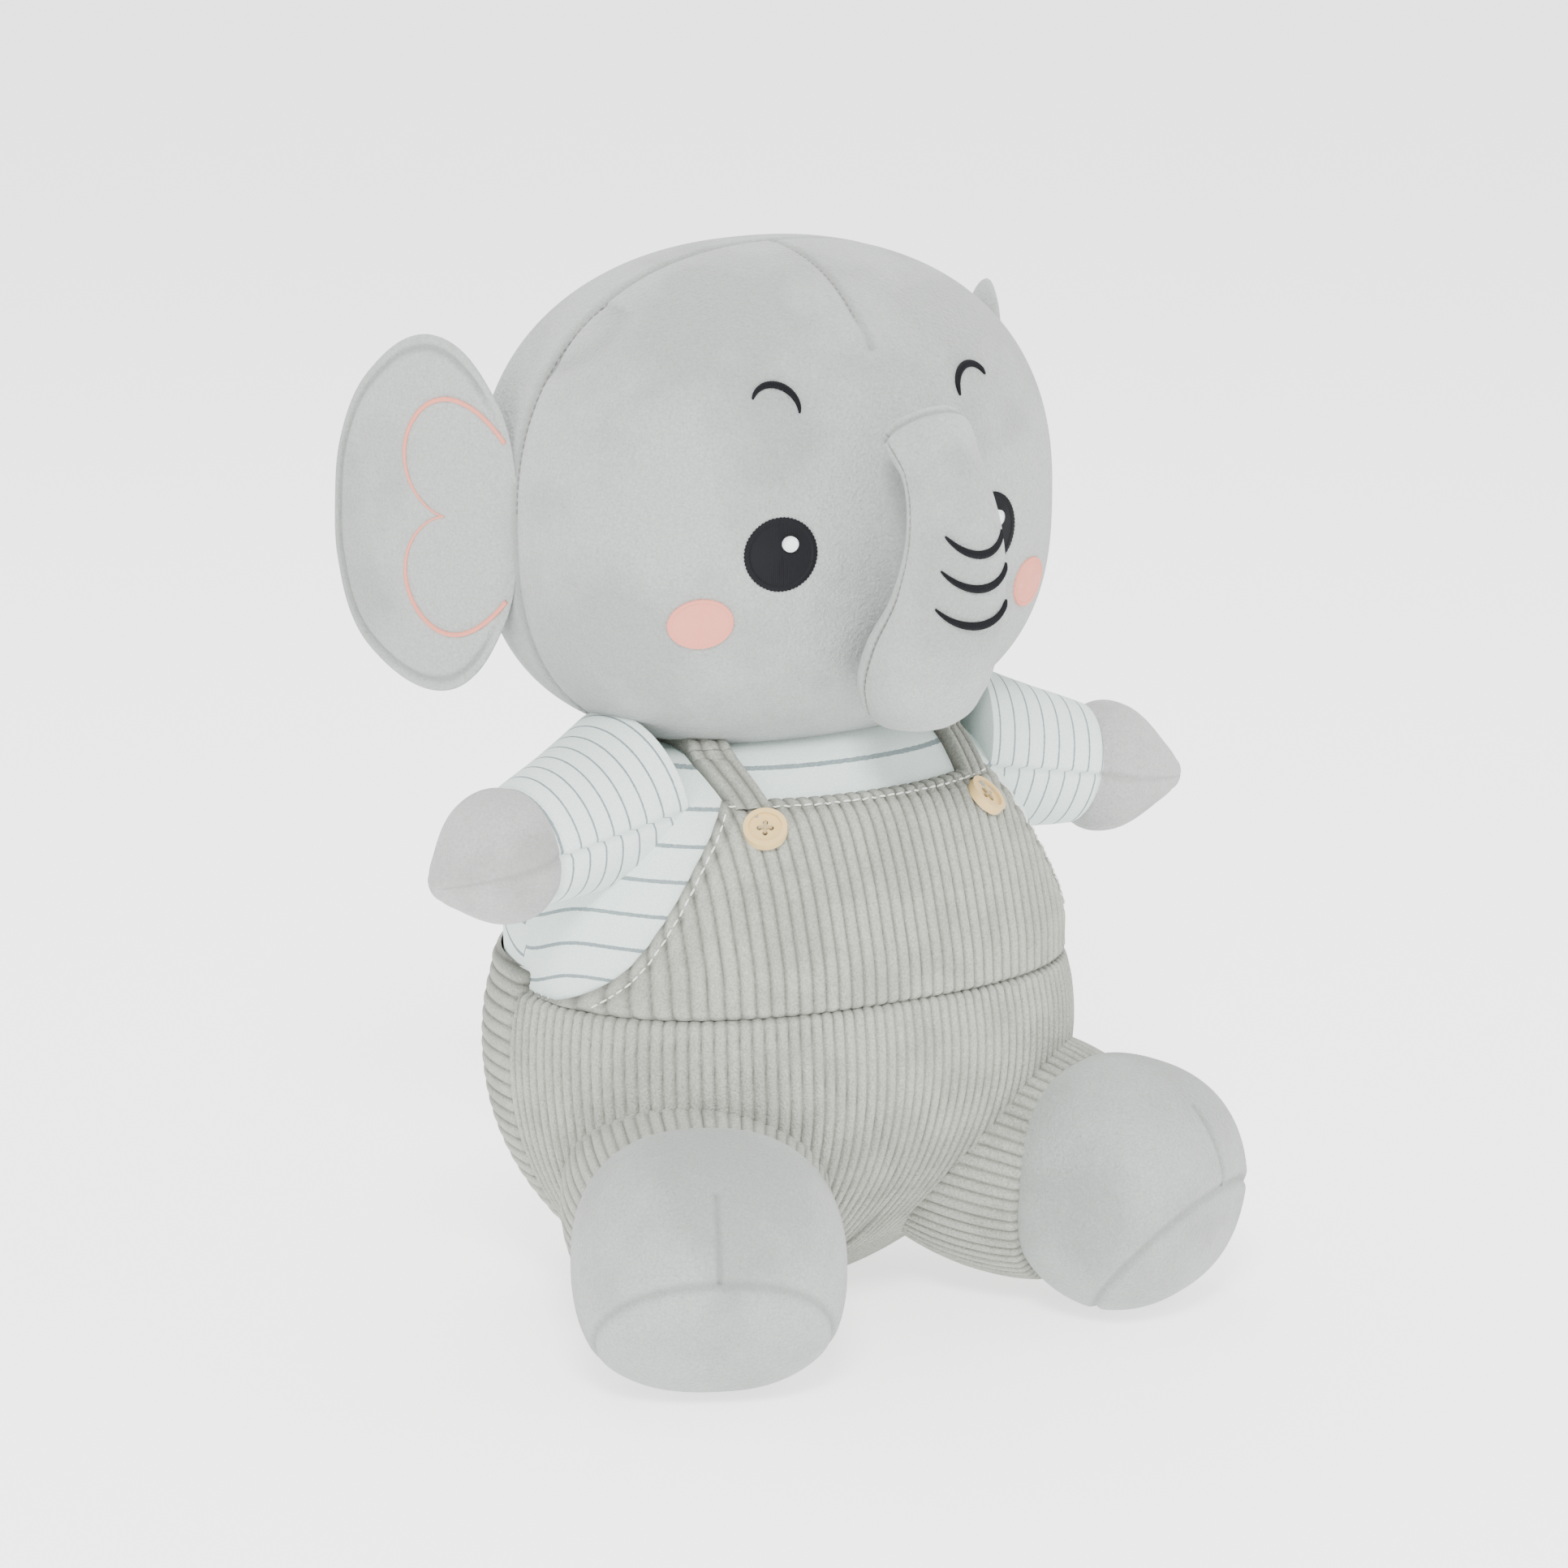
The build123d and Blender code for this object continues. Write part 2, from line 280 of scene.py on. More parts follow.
# rows of small stitches along a path: each a thin grain that lies in the seam, round across and blunt at its ends
def stitchRow(name, path, material, length, pitch, thick, body):
    stations, corners = 7, 8
    path = np.asarray(path, float)
    run = np.concatenate([[0], np.cumsum(np.linalg.norm(np.diff(path, axis=0), axis=1))])
    starts = np.arange(0, max(run[-1] - length, 0.1), pitch)
    t = np.linspace(-1, 1, stations)
    turn = np.linspace(0, 2 * np.pi, corners, endpoint=False)
    radius = thick * np.sqrt(np.clip(1 - t**4, 0.02, 1))
    at = starts[:, None] + (t + 1) / 2 * length
    line = np.stack([np.interp(at, run, path[:, k]) for k in range(3)], -1)
    along = line[:, -1] - line[:, 0]
    along /= np.linalg.norm(along, axis=1, keepdims=True) + 1e-9
    side = np.cross(along, [0.3, 0.5, 0.81])
    side /= np.linalg.norm(side, axis=1, keepdims=True)
    other = np.cross(along, side)
    hoop = np.cos(turn)[:, None] * side[:, None, None] + np.sin(turn)[:, None] * other[:, None, None]
    verts = line[:, :, None] + radius[None, :, None, None] * hoop
    i, j = np.meshgrid(np.arange(stations - 1), np.arange(corners), indexing="ij")
    k = (j + 1) % corners
    quads = np.stack([i * corners + j, i * corners + k, (i + 1) * corners + k, (i + 1) * corners + j], -1)
    ends = [list(range(corners - 1, -1, -1)), [(stations - 1) * corners + m for m in range(corners)]]
    grain = quads.reshape(-1, 4).tolist() + ends
    firsts = (np.arange(len(starts)) * stations * corners).tolist()
    faces = [[first + corner for corner in face] for first in firsts for face in grain]
    mesh = bpy.data.meshes.new(name)
    mesh.from_pydata((verts.reshape(-1, 3) * mm).tolist(), [], faces)
    mesh.polygons.foreach_set("use_smooth", np.ones(len(mesh.polygons), bool))
    mesh.materials.append(material)
    obj = bpy.data.objects.new(name, mesh)
    bpy.context.scene.collection.objects.link(obj)
    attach(obj, body)
    return obj


# satin stitch along a path: a low rounded band whose threads cross it
def satinBand(name, path, out, width, material, body, rise=0.9, pitch=0.42):
    path, out = np.asarray(path, float), np.asarray(out, float)
    run = np.concatenate([[0], np.cumsum(np.linalg.norm(np.diff(path, axis=0), axis=1))])
    n = max(40, int(run[-1] / pitch * 6))
    s = np.linspace(0, run[-1], n)
    line = np.stack([np.interp(s, run, path[:, k]) for k in range(3)], -1)
    up = np.stack([np.interp(s, run, out[:, k]) for k in range(3)], -1)
    d = np.gradient(line, axis=0)
    side = np.cross(up, d)
    side /= np.linalg.norm(side, axis=1, keepdims=True) + 1e-9
    share = s / run[-1]
    w = width(share) if callable(width) else width + 0 * s
    ridge = 1 + 0.16 * np.cos(2 * np.pi * s / pitch)
    a = np.linspace(0, 2 * np.pi, 16, endpoint=False)
    jag = 1 + 0.05 * np.sin(s * 9.1) + 0.04 * np.sin(s * 23.0)
    across = (np.cos(a)[None, :] * (w * jag / 2)[:, None])
    dome = np.where(np.sin(a) > 0, np.sin(a), 0.5 * np.sin(a))
    lift = dome[None, :] * (rise * ridge * np.minimum(1, w / 1.2))[:, None]
    points = line[:, None] + across[..., None] * side[:, None] + lift[..., None] * up[:, None]
    obj = gridMesh(name, points, material, caps=(True, True), flip=True)
    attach(obj, body)
    return obj


print("stage: body and clothes")
# shirt: a closed skin over the whole body, striped by height; the stripes dip at the side seams
shirtCut = {"low": 0.4, "high": 172.6, "stripePitch": 9.4, "sideSeam": 1.68,
            "dip": 7.0, "backStep": 3.0, "ribRadius": 75}
a = np.linspace(0, 2 * np.pi, 320, endpoint=False)
z = np.concatenate([np.linspace(shirtCut["low"], 88, 30), np.linspace(90, shirtCut["high"], 120)])
angles, heights = np.meshgrid(a, z)
spots = bodyPoint(angles, heights, -0.6)
spots[..., 2] = np.maximum(spots[..., 2], 1.2)
turned = np.abs(np.angle(np.exp(1j * angles)))
sag = np.where(turned > shirtCut["sideSeam"], shirtCut["backStep"], 0.0)
sag = sag + shirtCut["dip"] * valley(np.abs(turned - shirtCut["sideSeam"]), 0.22)
flat = np.stack([angles * shirtCut["ribRadius"], (heights + sag) / shirtCut["stripePitch"]], -1)
shirtBody = gridMesh("shirtBody", spots, shirt, caps=(True, True), flat=flat)
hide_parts("shirt_front", "shirt_back", "torso_stuffing")
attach(shirtBody, "torso")

dungareeLook = {"sideSeam": 1.66, "overlap": 0.02, "waist": 101.5, "waistDrop": 0.00045,
                "round": 84, "seamScale": 82, "ribPitch": 3.7, "backPitch": 4.2,
                "ribHigh": 1.0, "off": 1.5, "floor": 0.3}
seamAngle, overlap = dungareeLook["sideSeam"], dungareeLook["overlap"]


# height of the waist seam: it falls away a little to the sides
def waistZ(x):
    return dungareeLook["waist"] - dungareeLook["waistDrop"] * x**2


# rib height from a running length: rounded ribs with narrow valleys
def wales(length, pitch=dungareeLook["ribPitch"]):
    return np.abs(np.cos(np.pi * length / pitch)) ** 0.55


# how light the corduroy is: painted shade between the ribs and in the seams
def ribTone(rib, seams, start=0.18, gain=0.95):
    return np.clip(start + gain * rib - seams, 0, 1)


# front of the dungarees below the waist seam, ribs running up and down
u = np.linspace(-seamAngle - overlap, seamAngle + overlap, 620)
v = np.linspace(0, 1, 150)
uGrid, vGrid = np.meshgrid(u, v)
frontHigh = 0.4 + (waistZ(dungareeLook["round"] * np.sin(uGrid)) - 0.4) * vGrid
edge = np.minimum((seamAngle + overlap - np.abs(uGrid)) * dungareeLook["seamScale"], (1 - vGrid) * 100)
sway = 0.5 * np.sin(frontHigh / 9.0 + uGrid * 7) * (1 - vGrid)
run = dungareeLook["round"] * uGrid * (1 + 0.03 * np.sin(3 * vGrid)) + sway
rib = wales(run)
tuck = valley(uGrid * dungareeLook["round"] - 3, 2.2) * np.clip((46 - frontHigh) / 30, 0, 1)
base = bodyPoint(uGrid, frontHigh)
lift = dungareeLook["off"] + dungareeLook["ribHigh"] * rib + 0.7 * lumps(base, 3, 22)
lift = lift - 2.6 * valley(edge, 1.6) - 2.2 * tuck
spots = base + facing(base, 75, 310, [0, -1, 0]) * lift[..., None]
spots[..., 2] = np.maximum(spots[..., 2], dungareeLook["floor"])
# painted shade between the ribs, along the edges and in the tuck
tone = ribTone(rib, 0.6 * valley(edge, 1.4) + 0.5 * tuck)
front = gridMesh("dungareeFront", spots, corduroy, wrap=False, tone=tone)
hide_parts("dungaree_front")
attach(front, "torso")

# back of the dungarees, ribs running round; the top edge rises to the middle of the back
u = np.linspace(seamAngle - overlap, 2 * np.pi - seamAngle + overlap, 170)
v = np.linspace(0, 1, 330)
uGrid, vGrid = np.meshgrid(u, v)
top = 104 + 8 * np.clip((np.abs(np.sin(uGrid)) < 0.98) * (1 - np.abs(np.sin(uGrid))), 0, 1)
backHigh = 0.4 + (top - 0.4) * vGrid
toSeam = np.minimum(uGrid - seamAngle + overlap, 2 * np.pi - seamAngle + overlap - uGrid)
edge = np.minimum(toSeam * dungareeLook["seamScale"], (1 - vGrid) * 100)
base = bodyPoint(uGrid, backHigh)
rib = wales(backHigh + 0.6 * np.sin(uGrid * 5), dungareeLook["backPitch"])
lift = dungareeLook["off"] + dungareeLook["ribHigh"] * rib + 0.8 * lumps(base, 5, 20) - 2.6 * valley(edge, 1.6)
spots = base + facing(base, 165, 85, [0, 1, 0]) * lift[..., None]
spots[..., 2] = np.maximum(spots[..., 2], dungareeLook["floor"])
# the tone is painted shade between the ribs and along the edges
back = gridMesh("dungareeBack", spots, corduroy, wrap=False, tone=ribTone(rib, 0.6 * valley(edge, 1.4)))
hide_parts("dungaree_back")
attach(back, "torso")

# bib: ribs up and down, curved side edges, a turned hem all round
bibLook = {"lowZ": 99, "topZ": 157.0, "topHalf": 43.0, "lowHalf": 82.0, "curve": 0.85 / 0.9, "topDip": 1.5,
           "hemIn": 3.2, "stitch": (2.6, 3.4, 0.3)}
bibHigh = bibLook["topZ"] - bibLook["lowZ"]


# half width of the bib at a height: wide at the waist, drawn in to the top
def bibHalf(zz):
    t = np.clip((zz - bibLook["lowZ"]) / bibHigh, 0, 1)
    return bibLook["topHalf"] + (bibLook["lowHalf"] - bibLook["topHalf"]) * (1 - t) ** bibLook["curve"]


u = np.linspace(-1, 1, 560)
v = np.linspace(0, 1, 110)
uGrid, vGrid = np.meshgrid(u, v)
half = bibHalf(bibLook["lowZ"] + vGrid * bibHigh)
bibX = uGrid * half
bibZ = waistZ(bibX) - 1 + bibHigh * vGrid
bibZ = bibZ - bibLook["topDip"] * vGrid * (1 - uGrid**2)
base = bodyPoint(angleAt(np.clip(bibX, -82.5, 82.5), bibZ), bibZ)
toSide, toTop = (1 - np.abs(uGrid)) * half, (1 - vGrid) * (bibHigh - 1)
edge = np.minimum(np.minimum(toSide, toTop), vGrid * (bibHigh - 1) + 0.5)
rib = wales(bibX + 0.4 * np.sin(bibZ / 8))
hemLine = valley(np.abs(np.minimum(toSide * 0.9, toTop) - bibLook["hemIn"]), 0.9)
lift = 1.9 + dungareeLook["ribHigh"] * rib + 0.5 * lumps(base, 8, 18) - 2.4 * valley(edge, 1.1) - 0.7 * hemLine
outward = facing(base, 55, 280, [0, -1, 0])
spots = base + outward * lift[..., None]
# painted shade between the ribs, at the edges and in the hem line
tone = ribTone(rib, 0.5 * valley(edge, 1.0) + 0.25 * hemLine)
bib = gridMesh("bibPanel", spots, corduroy, wrap=False, tone=tone)
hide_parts("bib")
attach(bib, "torso")
hemPaths = {"top": spots[104, 12:-12], "left": spots[3:104, 548], "right": spots[3:104, 11]}
for key, path in hemPaths.items():
    stitchRow("bibStitch_" + key, path + outward[60, 280] * 0.5, paleThread, *bibLook["stitch"], "torso")
across = np.linspace(-1.55, 1.55, 200)
waistPath = bodyPoint(across, waistZ(dungareeLook["round"] * np.sin(across)), 1.1)
stitchRow("waistStitch", waistPath, seamThread, 1.5, 2.1, 0.35, "torso")

# straps: from the buttons up under the head, over the shoulder and down the back
strapLook = {"x": 37.0, "half": 5.6, "bow": 2.5, "off": 2.4, "ribHigh": 0.8, "ribPitch": 3.9,
             "frontZ": (154, 171), "backZ": (171, 103), "crest": 4}
turnRow, bendFrom, bendTo = 70, 55, 85
for key, s in sides.items():
    rising, falling = np.linspace(*strapLook["frontZ"], turnRow), np.linspace(*strapLook["backZ"], 160 - turnRow)
    zz = np.concatenate([rising, falling])
    w = np.linspace(-strapLook["half"], strapLook["half"], 60)
    turns, widths = np.meshgrid(np.arange(160), w, indexing="ij")
    strapZ, strapX = zz[turns], s * strapLook["x"] + widths + s * strapLook["bow"] * np.sin(turns / 160 * 3.14)
    spots = bodyPoint(angleAt(np.clip(strapX, -46, 46), np.minimum(strapZ, 165)), np.minimum(strapZ, 168))
    spots[..., 1] = np.where(turns >= turnRow, 8 - spots[..., 1], spots[..., 1])
    share = np.clip((turns - bendFrom) / 30, 0, 1)
    ease = share * share * (3 - 2 * share)
    over = (turns > bendFrom) & (turns < bendTo)
    yFront, yBack = spots[bendFrom, :, 1], spots[bendTo, :, 1]
    spots[..., 1] = np.where(over, yFront[None] * (1 - ease) + yBack[None] * ease, spots[..., 1])
    crest = spots[bendFrom, :, 2][None] * (1 - ease) + spots[bendTo, :, 2][None] * ease
    crest = crest + strapLook["crest"] * np.sin(np.pi * share)
    spots[..., 2] = np.where(over, crest, spots[..., 2])
    spots[..., 0] = strapX
    edge = strapLook["half"] - np.abs(widths)
    rib = wales(widths, strapLook["ribPitch"])
    lift = strapLook["off"] + strapLook["ribHigh"] * rib - 3.2 * valley(edge, 0.9)
    spots = spots + facing(spots, 20, 30, [0, -1, 0.3]) * lift[..., None]
    # painted shade between the ribs and at the strap edges
    tone = ribTone(rib, 0.5 * valley(edge, 1.0), 0.05, 0.85)
    strap = gridMesh("strap_" + key, spots, corduroy, wrap=False, tone=tone)
    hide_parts("strap_" + key)
    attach(strap, "torso")
    for node, mat in (("button_", wood), ("button_thread_", buttonThread)):
        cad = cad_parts[node + key]
        cad.data.materials.clear()
        cad.data.materials.append(mat)

print("stage: head")
headLook = {"mid": np.array([0, 9.0, 233.5]), "half": (85.0, 65.5, 73.0), "low": 69.5, "corner": 2.3,
            "fullTop": 2.3, "fullLow": 2.7, "seamY": 8, "neckZ": 166.0}


# distance from the head's middle to its surface along a direction: one over the soft-cornered sum of its parts
def headReach(d):
    across, depth, high = headLook["half"]
    n = headLook["corner"]
    c = np.where(d[..., 2] > 0, high, headLook["low"])
    m = np.where(d[..., 2] > 0, headLook["fullTop"], headLook["fullLow"])
    level = (np.abs(d[..., 0] / across) ** n + np.abs(d[..., 1] / depth) ** n) ** (m / n)
    return (level + np.abs(d[..., 2] / c) ** m) ** (-1 / m)


# front of the head at x and height z, with its outward direction
def facePoint(x, zz, lift=0.0):
    across, depth, high = headLook["half"]
    n = headLook["corner"]
    dz = zz - headLook["mid"][2]
    c = np.where(dz > 0, high, headLook["low"])
    m = np.where(dz > 0, headLook["fullTop"], headLook["fullLow"])
    room = np.clip(1 - np.abs(dz / c) ** m, 1e-4, 1) ** (n / m)
    y = -depth * np.clip(room - np.abs(x / across) ** n, 1e-4, 1) ** (1 / n)
    p = np.stack([x + 0 * y, headLook["mid"][1] + y, zz + 0 * y], -1)
    g = np.stack([np.sign(x) * np.abs(x / across) ** (n - 1) / across, -np.abs(y / depth) ** (n - 1) / depth,
                  np.sign(dz) * np.abs(dz / c) ** (m - 1) / c], -1)
    g /= np.linalg.norm(g, axis=-1, keepdims=True)
    return p + g * lift, g


az = np.linspace(0, 2 * np.pi, 400, endpoint=False)
el = np.linspace(-np.pi / 2 + 0.004, np.pi / 2 - 0.004, 240)
azGrid, elGrid = np.meshgrid(az, el)
aims = np.stack([np.cos(elGrid) * np.sin(azGrid), -np.cos(elGrid) * np.cos(azGrid), np.sin(elGrid)], -1)
spots = headLook["mid"] + aims * headReach(aims)[..., None]
headX, headY, headZ, far = spots[..., 0], spots[..., 1], spots[..., 2], 99
ahead = headY < headLook["seamY"]
topDart = np.where(ahead & (headY > -44) & (headZ > 250), np.abs(headX), far)
onSide = ahead & (headY > -14) & (np.abs(headX) > 55) & (headZ > 260)
sideDart = np.where(onSide, np.abs(headZ - 283 + (np.abs(headX) - 66) * 0.9), far)
groove = 1.5 * valley(headY - headLook["seamY"], 1.5) + 1.1 * valley(topDart, 1.3) + 0.9 * valley(sideDart, 1.2)
pinch = 1.6 * np.exp(-(headX**2 + (headY + 42) ** 2) / 14) * (headZ > 260)
hollow = 1.5 * np.exp(-((np.abs(headX) - 28) ** 2) / 160 - (headY + 22) ** 2 / 260) * (headZ > 270)
spots = spots - aims * (groove - pinch + hollow - 0.5 * lumps(spots, 11, 26))[..., None]
spots[..., 2] = np.maximum(spots[..., 2], headLook["neckZ"])
# painted shade in the seam and dart grooves of the head
headSkin = gridMesh("headSkin", spots, plush, caps=(True, True), tone=np.clip(1 - 0.55 * groove, 0, 1))
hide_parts("face_panel", "head_back_panel", "head_stuffing")
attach(headSkin, "head")


# stitches that lie in a groove of the head, from directions
def headLine(dirs, depth):
    dirs = dirs / np.linalg.norm(dirs, axis=1, keepdims=True)
    return headLook["mid"] + dirs * (headReach(dirs) - depth)[:, None]


t = np.linspace(0.02, np.pi - 0.02, 200)
seamLine = headLine(np.stack([np.cos(t) * 85, -1 + 0 * t, np.sin(t) * 70], -1), 1.2)
stitchRow("headSeamStitch", seamLine, seamThread, 1.4, 2.3, 0.3, "head")
t = np.linspace(0.05, 0.86, 100)
dartLine = headLine(np.stack([0 * t, -np.sin(t), np.cos(t)], -1), 0.8)
stitchRow("topDartStitch", dartLine, seamThread, 1.3, 2.2, 0.3, "head")

# round and arched embroidery on the face
faceLook = {"eye": (35.0, 229.3, 10.3), "light": (2.2, 2.9, 2.2), "cheek": (55.0, 210.3, 7.912, 7.2),
            "browAt": (33.0, 269.0), "browHalf": (6.4, 6.2), "smileFrom": (11, 180), "smileLong": 18}


# a filled round patch: a rim of radial satin thread round a flatter middle
def roundPatch(name, x0, z0, rx, rz, material, rims, lift=0.75):
    r = np.concatenate([np.linspace(0.02, 0.84, 26), np.linspace(0.86, 1.0, 12)])
    th = np.linspace(0, 2 * np.pi, 360, endpoint=False)
    rings, turns = np.meshgrid(r, th, indexing="ij")
    jag = 1 + 0.012 * np.sin(turns * 60) * (rings > 0.95)
    p, g = facePoint(x0 + rx * rings * jag * np.cos(turns), z0 + rz * rings * jag * np.sin(turns))
    rim = np.clip((rings - 0.84) / 0.03, 0, 1) * np.clip((1.0 - rings) / 0.02, 0, 1)
    high = lift * (0.62 + 0.38 * rim + 0.13 * rim * np.cos(turns * rims))
    high = high * np.clip((1.0 - rings) / 0.012, -0.2, 1)
    fill = 0.09 * np.cos(2 * np.pi * (x0 + rx * rings * np.cos(turns)) / 0.55) * (1 - rim)
    obj = gridMesh(name, p + g * (high + fill)[..., None], material, caps=(True, False))
    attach(obj, "head")
    return obj


# how wide the black satin is along its length: pointed at the ends
def browWidth(q):
    return 0.5 + 1.7 * np.sin(np.pi * np.clip(q, 0, 1)) ** 0.7


def smileWidth(q):
    return 0.5 + 1.6 * np.sin(np.pi * np.clip(q, 0, 1) ** 0.6) ** 0.8


def creaseWidth(q):
    return 0.5 + 1.8 * np.sin(np.pi * np.clip(q, 0, 1)) ** 0.7


for key, s in sides.items():
    x0, z0, r0 = faceLook["eye"]
    eye = roundPatch("eyePatch_" + key, s * x0, z0, r0, r0 + 0.2, blackThread, 120)
    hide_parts("eye_" + key)
    lx, lz, lr = faceLook["light"]
    light = roundPatch("eyeGlint_" + key, s * x0 + lx, z0 + lz, lr, lr, whiteThread, 30, 1.5)
    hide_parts("eye_light_" + key)
    cx, cz, crx, crz = faceLook["cheek"]
    cheek = roundPatch("cheekPatch_" + key, s * cx, cz, crx, crz, pinkThread, 90)
    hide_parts("cheek_" + key)
    (bx, bz), (wide, tall) = faceLook["browAt"], faceLook["browHalf"]
    th = np.radians(195 - 170 * np.linspace(0, 1, 60))
    p, g = facePoint(s * bx + wide * np.cos(th) * s, bz + tall * np.sin(th), 0.15)
    if s > 0:
        p, g = p[::-1], g[::-1]
    brow = satinBand("browBand_" + key, p, g, browWidth, blackThread, "head")
    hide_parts("brow_" + key)
t = np.linspace(0, 1, 60)
smileX, smileZ = faceLook["smileFrom"]
smileRise = 5.5 * t**1.6 - 5 * np.sin(np.pi * (0.12 + 0.45 * t))
p, g = facePoint(smileX + faceLook["smileLong"] * t, smileZ + smileRise, 0.15)
smile = satinBand("smileBand", p, g, smileWidth, blackThread, "head")
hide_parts("mouth")

print("stage: trunk")
trunkLook = {"t": [0, 0.03, 0.08, 0.17, 0.32, 0.5, 0.68, 0.84, 0.95, 1.0],
             "y": [-67, -67, -68, -70, -75, -83, -85, -79, -72, -69],
             "z": [178.5, 179.5, 182.5, 190, 203, 220, 238, 254, 262, 264.5],
             "wide": [2, 8, 13.5, 17.5, 18.5, 16.0, 13.5, 11.5, 12.0, 11.0],
             "deep": [2, 8, 13, 17.5, 19.0, 15.5, 12.5, 10.5, 11.5, 10.5],
             "tilt": [0, 0, 0, 0, 0, 5, 16, 30, 36, 38], "seamTurn": 1.75, "tipSeam": 0.972,
             "creases": ((0.66, 0.74), (0.575, 0.80), (0.475, 0.80))}


# the trunk at running share t and angle a round it (0 faces front), moved out by lift
def trunkPoint(tt, aa, lift=0.0):
    keys = ("y", "z", "wide", "deep", "tilt")
    y, z, wide, deep, tilt = (smooth(trunkLook["t"], trunkLook[k], tt) for k in keys)
    tilt = np.radians(tilt)
    x, ahead = np.sin(aa) * (wide + lift), -np.cos(aa) * (deep + lift)
    return np.stack([x, y + ahead * np.cos(tilt), z - ahead * np.sin(tilt)], -1)


tt = np.linspace(0, 1, 200)
aa = np.linspace(0, 2 * np.pi, 240, endpoint=False)
aroundGrid, shareGrid = np.meshgrid(aa, tt)
spots = trunkPoint(shareGrid, aroundGrid)
wrapA = np.abs(np.angle(np.exp(1j * aroundGrid)))
sideSeam = valley((wrapA - trunkLook["seamTurn"]) * 18, 0.9) * (shareGrid > 0.06)
tipSeam = valley((shareGrid - trunkLook["tipSeam"]) * 100, 1.1)
inward = spots - trunkPoint(shareGrid, aroundGrid, -1.0)
spots = spots - inward * (0.9 * sideSeam + 1.0 * tipSeam - 0.5 * lumps(spots, 17, 14))[..., None]
cap = np.linspace(0.9, 0.05, 8)
top = spots[-1]
crown = np.array([0, 0.6, 0.8]) * (1.2 * np.sqrt(1 - cap**2))[:, None, None]
capRows = top.mean(0) + (top - top.mean(0))[None] * cap[:, None, None] + crown
spots = np.concatenate([spots, capRows])
# painted shade along the side seams and the tip seam; the cap rows are a little darker all over
tone = np.concatenate([np.clip(1 - 0.6 * sideSeam - 0.6 * tipSeam, 0, 1), np.ones((8, 240)) * 0.85])
trunk = gridMesh("trunkSkin", spots, plush, caps=(True, True), tone=tone)
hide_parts("trunk_stuffing", "trunk_front_panel", "trunk_back_panel", "trunk_tip")
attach(trunk, "trunk")
q = np.linspace(0.1, 0.965, 120)
for key, s in sides.items():
    line = trunkPoint(q, s * trunkLook["seamTurn"] + 0 * q, -0.5)
    stitchRow("trunkStitch_" + key, line, seamThread, 1.3, 2.1, 0.26, "trunk")
for i, (mid, half) in enumerate(trunkLook["creases"]):
    q = np.linspace(-1, 1, 70)
    ang = 0.02 + half * q
    share = mid - 0.055 * (1 - q**2)
    p = trunkPoint(share, ang, 0.2)
    out = p - trunkPoint(share, ang, -1.0)
    out /= np.linalg.norm(out, axis=1, keepdims=True)
    crease = satinBand(f"creaseBand_{i + 1}", p, out, creaseWidth, blackThread, "trunk")
    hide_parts(f"trunk_crease_{i + 1}")

print("stage: ears, arms and legs")
earLook = {"root": (82.5, 10.0, 234.0), "lean": 66.0, "mid": 27.5, "thick": 7.0,
           "angle": [-180, -150, -125, -95, -60, -25, 0, 30, 60, 90, 120, 150, 180],
           "reach": [28, 32, 39, 50.5, 47, 38, 35, 38, 45, 51, 41, 32, 28],
           "heartAt": (13.0, -1.0), "heartScale": (1.95, 2.1), "heartStart": 2.0}


# padding of the ear over its middle sheet, at share r of the way to its rim and distance u from its root
def earPad(r, u):
    return earLook["thick"] * np.sqrt(np.clip(1 - r**2.6, 0, 1)) * np.clip((u + 10) / 26, 0.25, 1)


# the heart outline thins at its notch
def heartWidth(x):
    return 1.35 - 0.75 * np.exp(-((x - 0.5) / 0.16) ** 2)


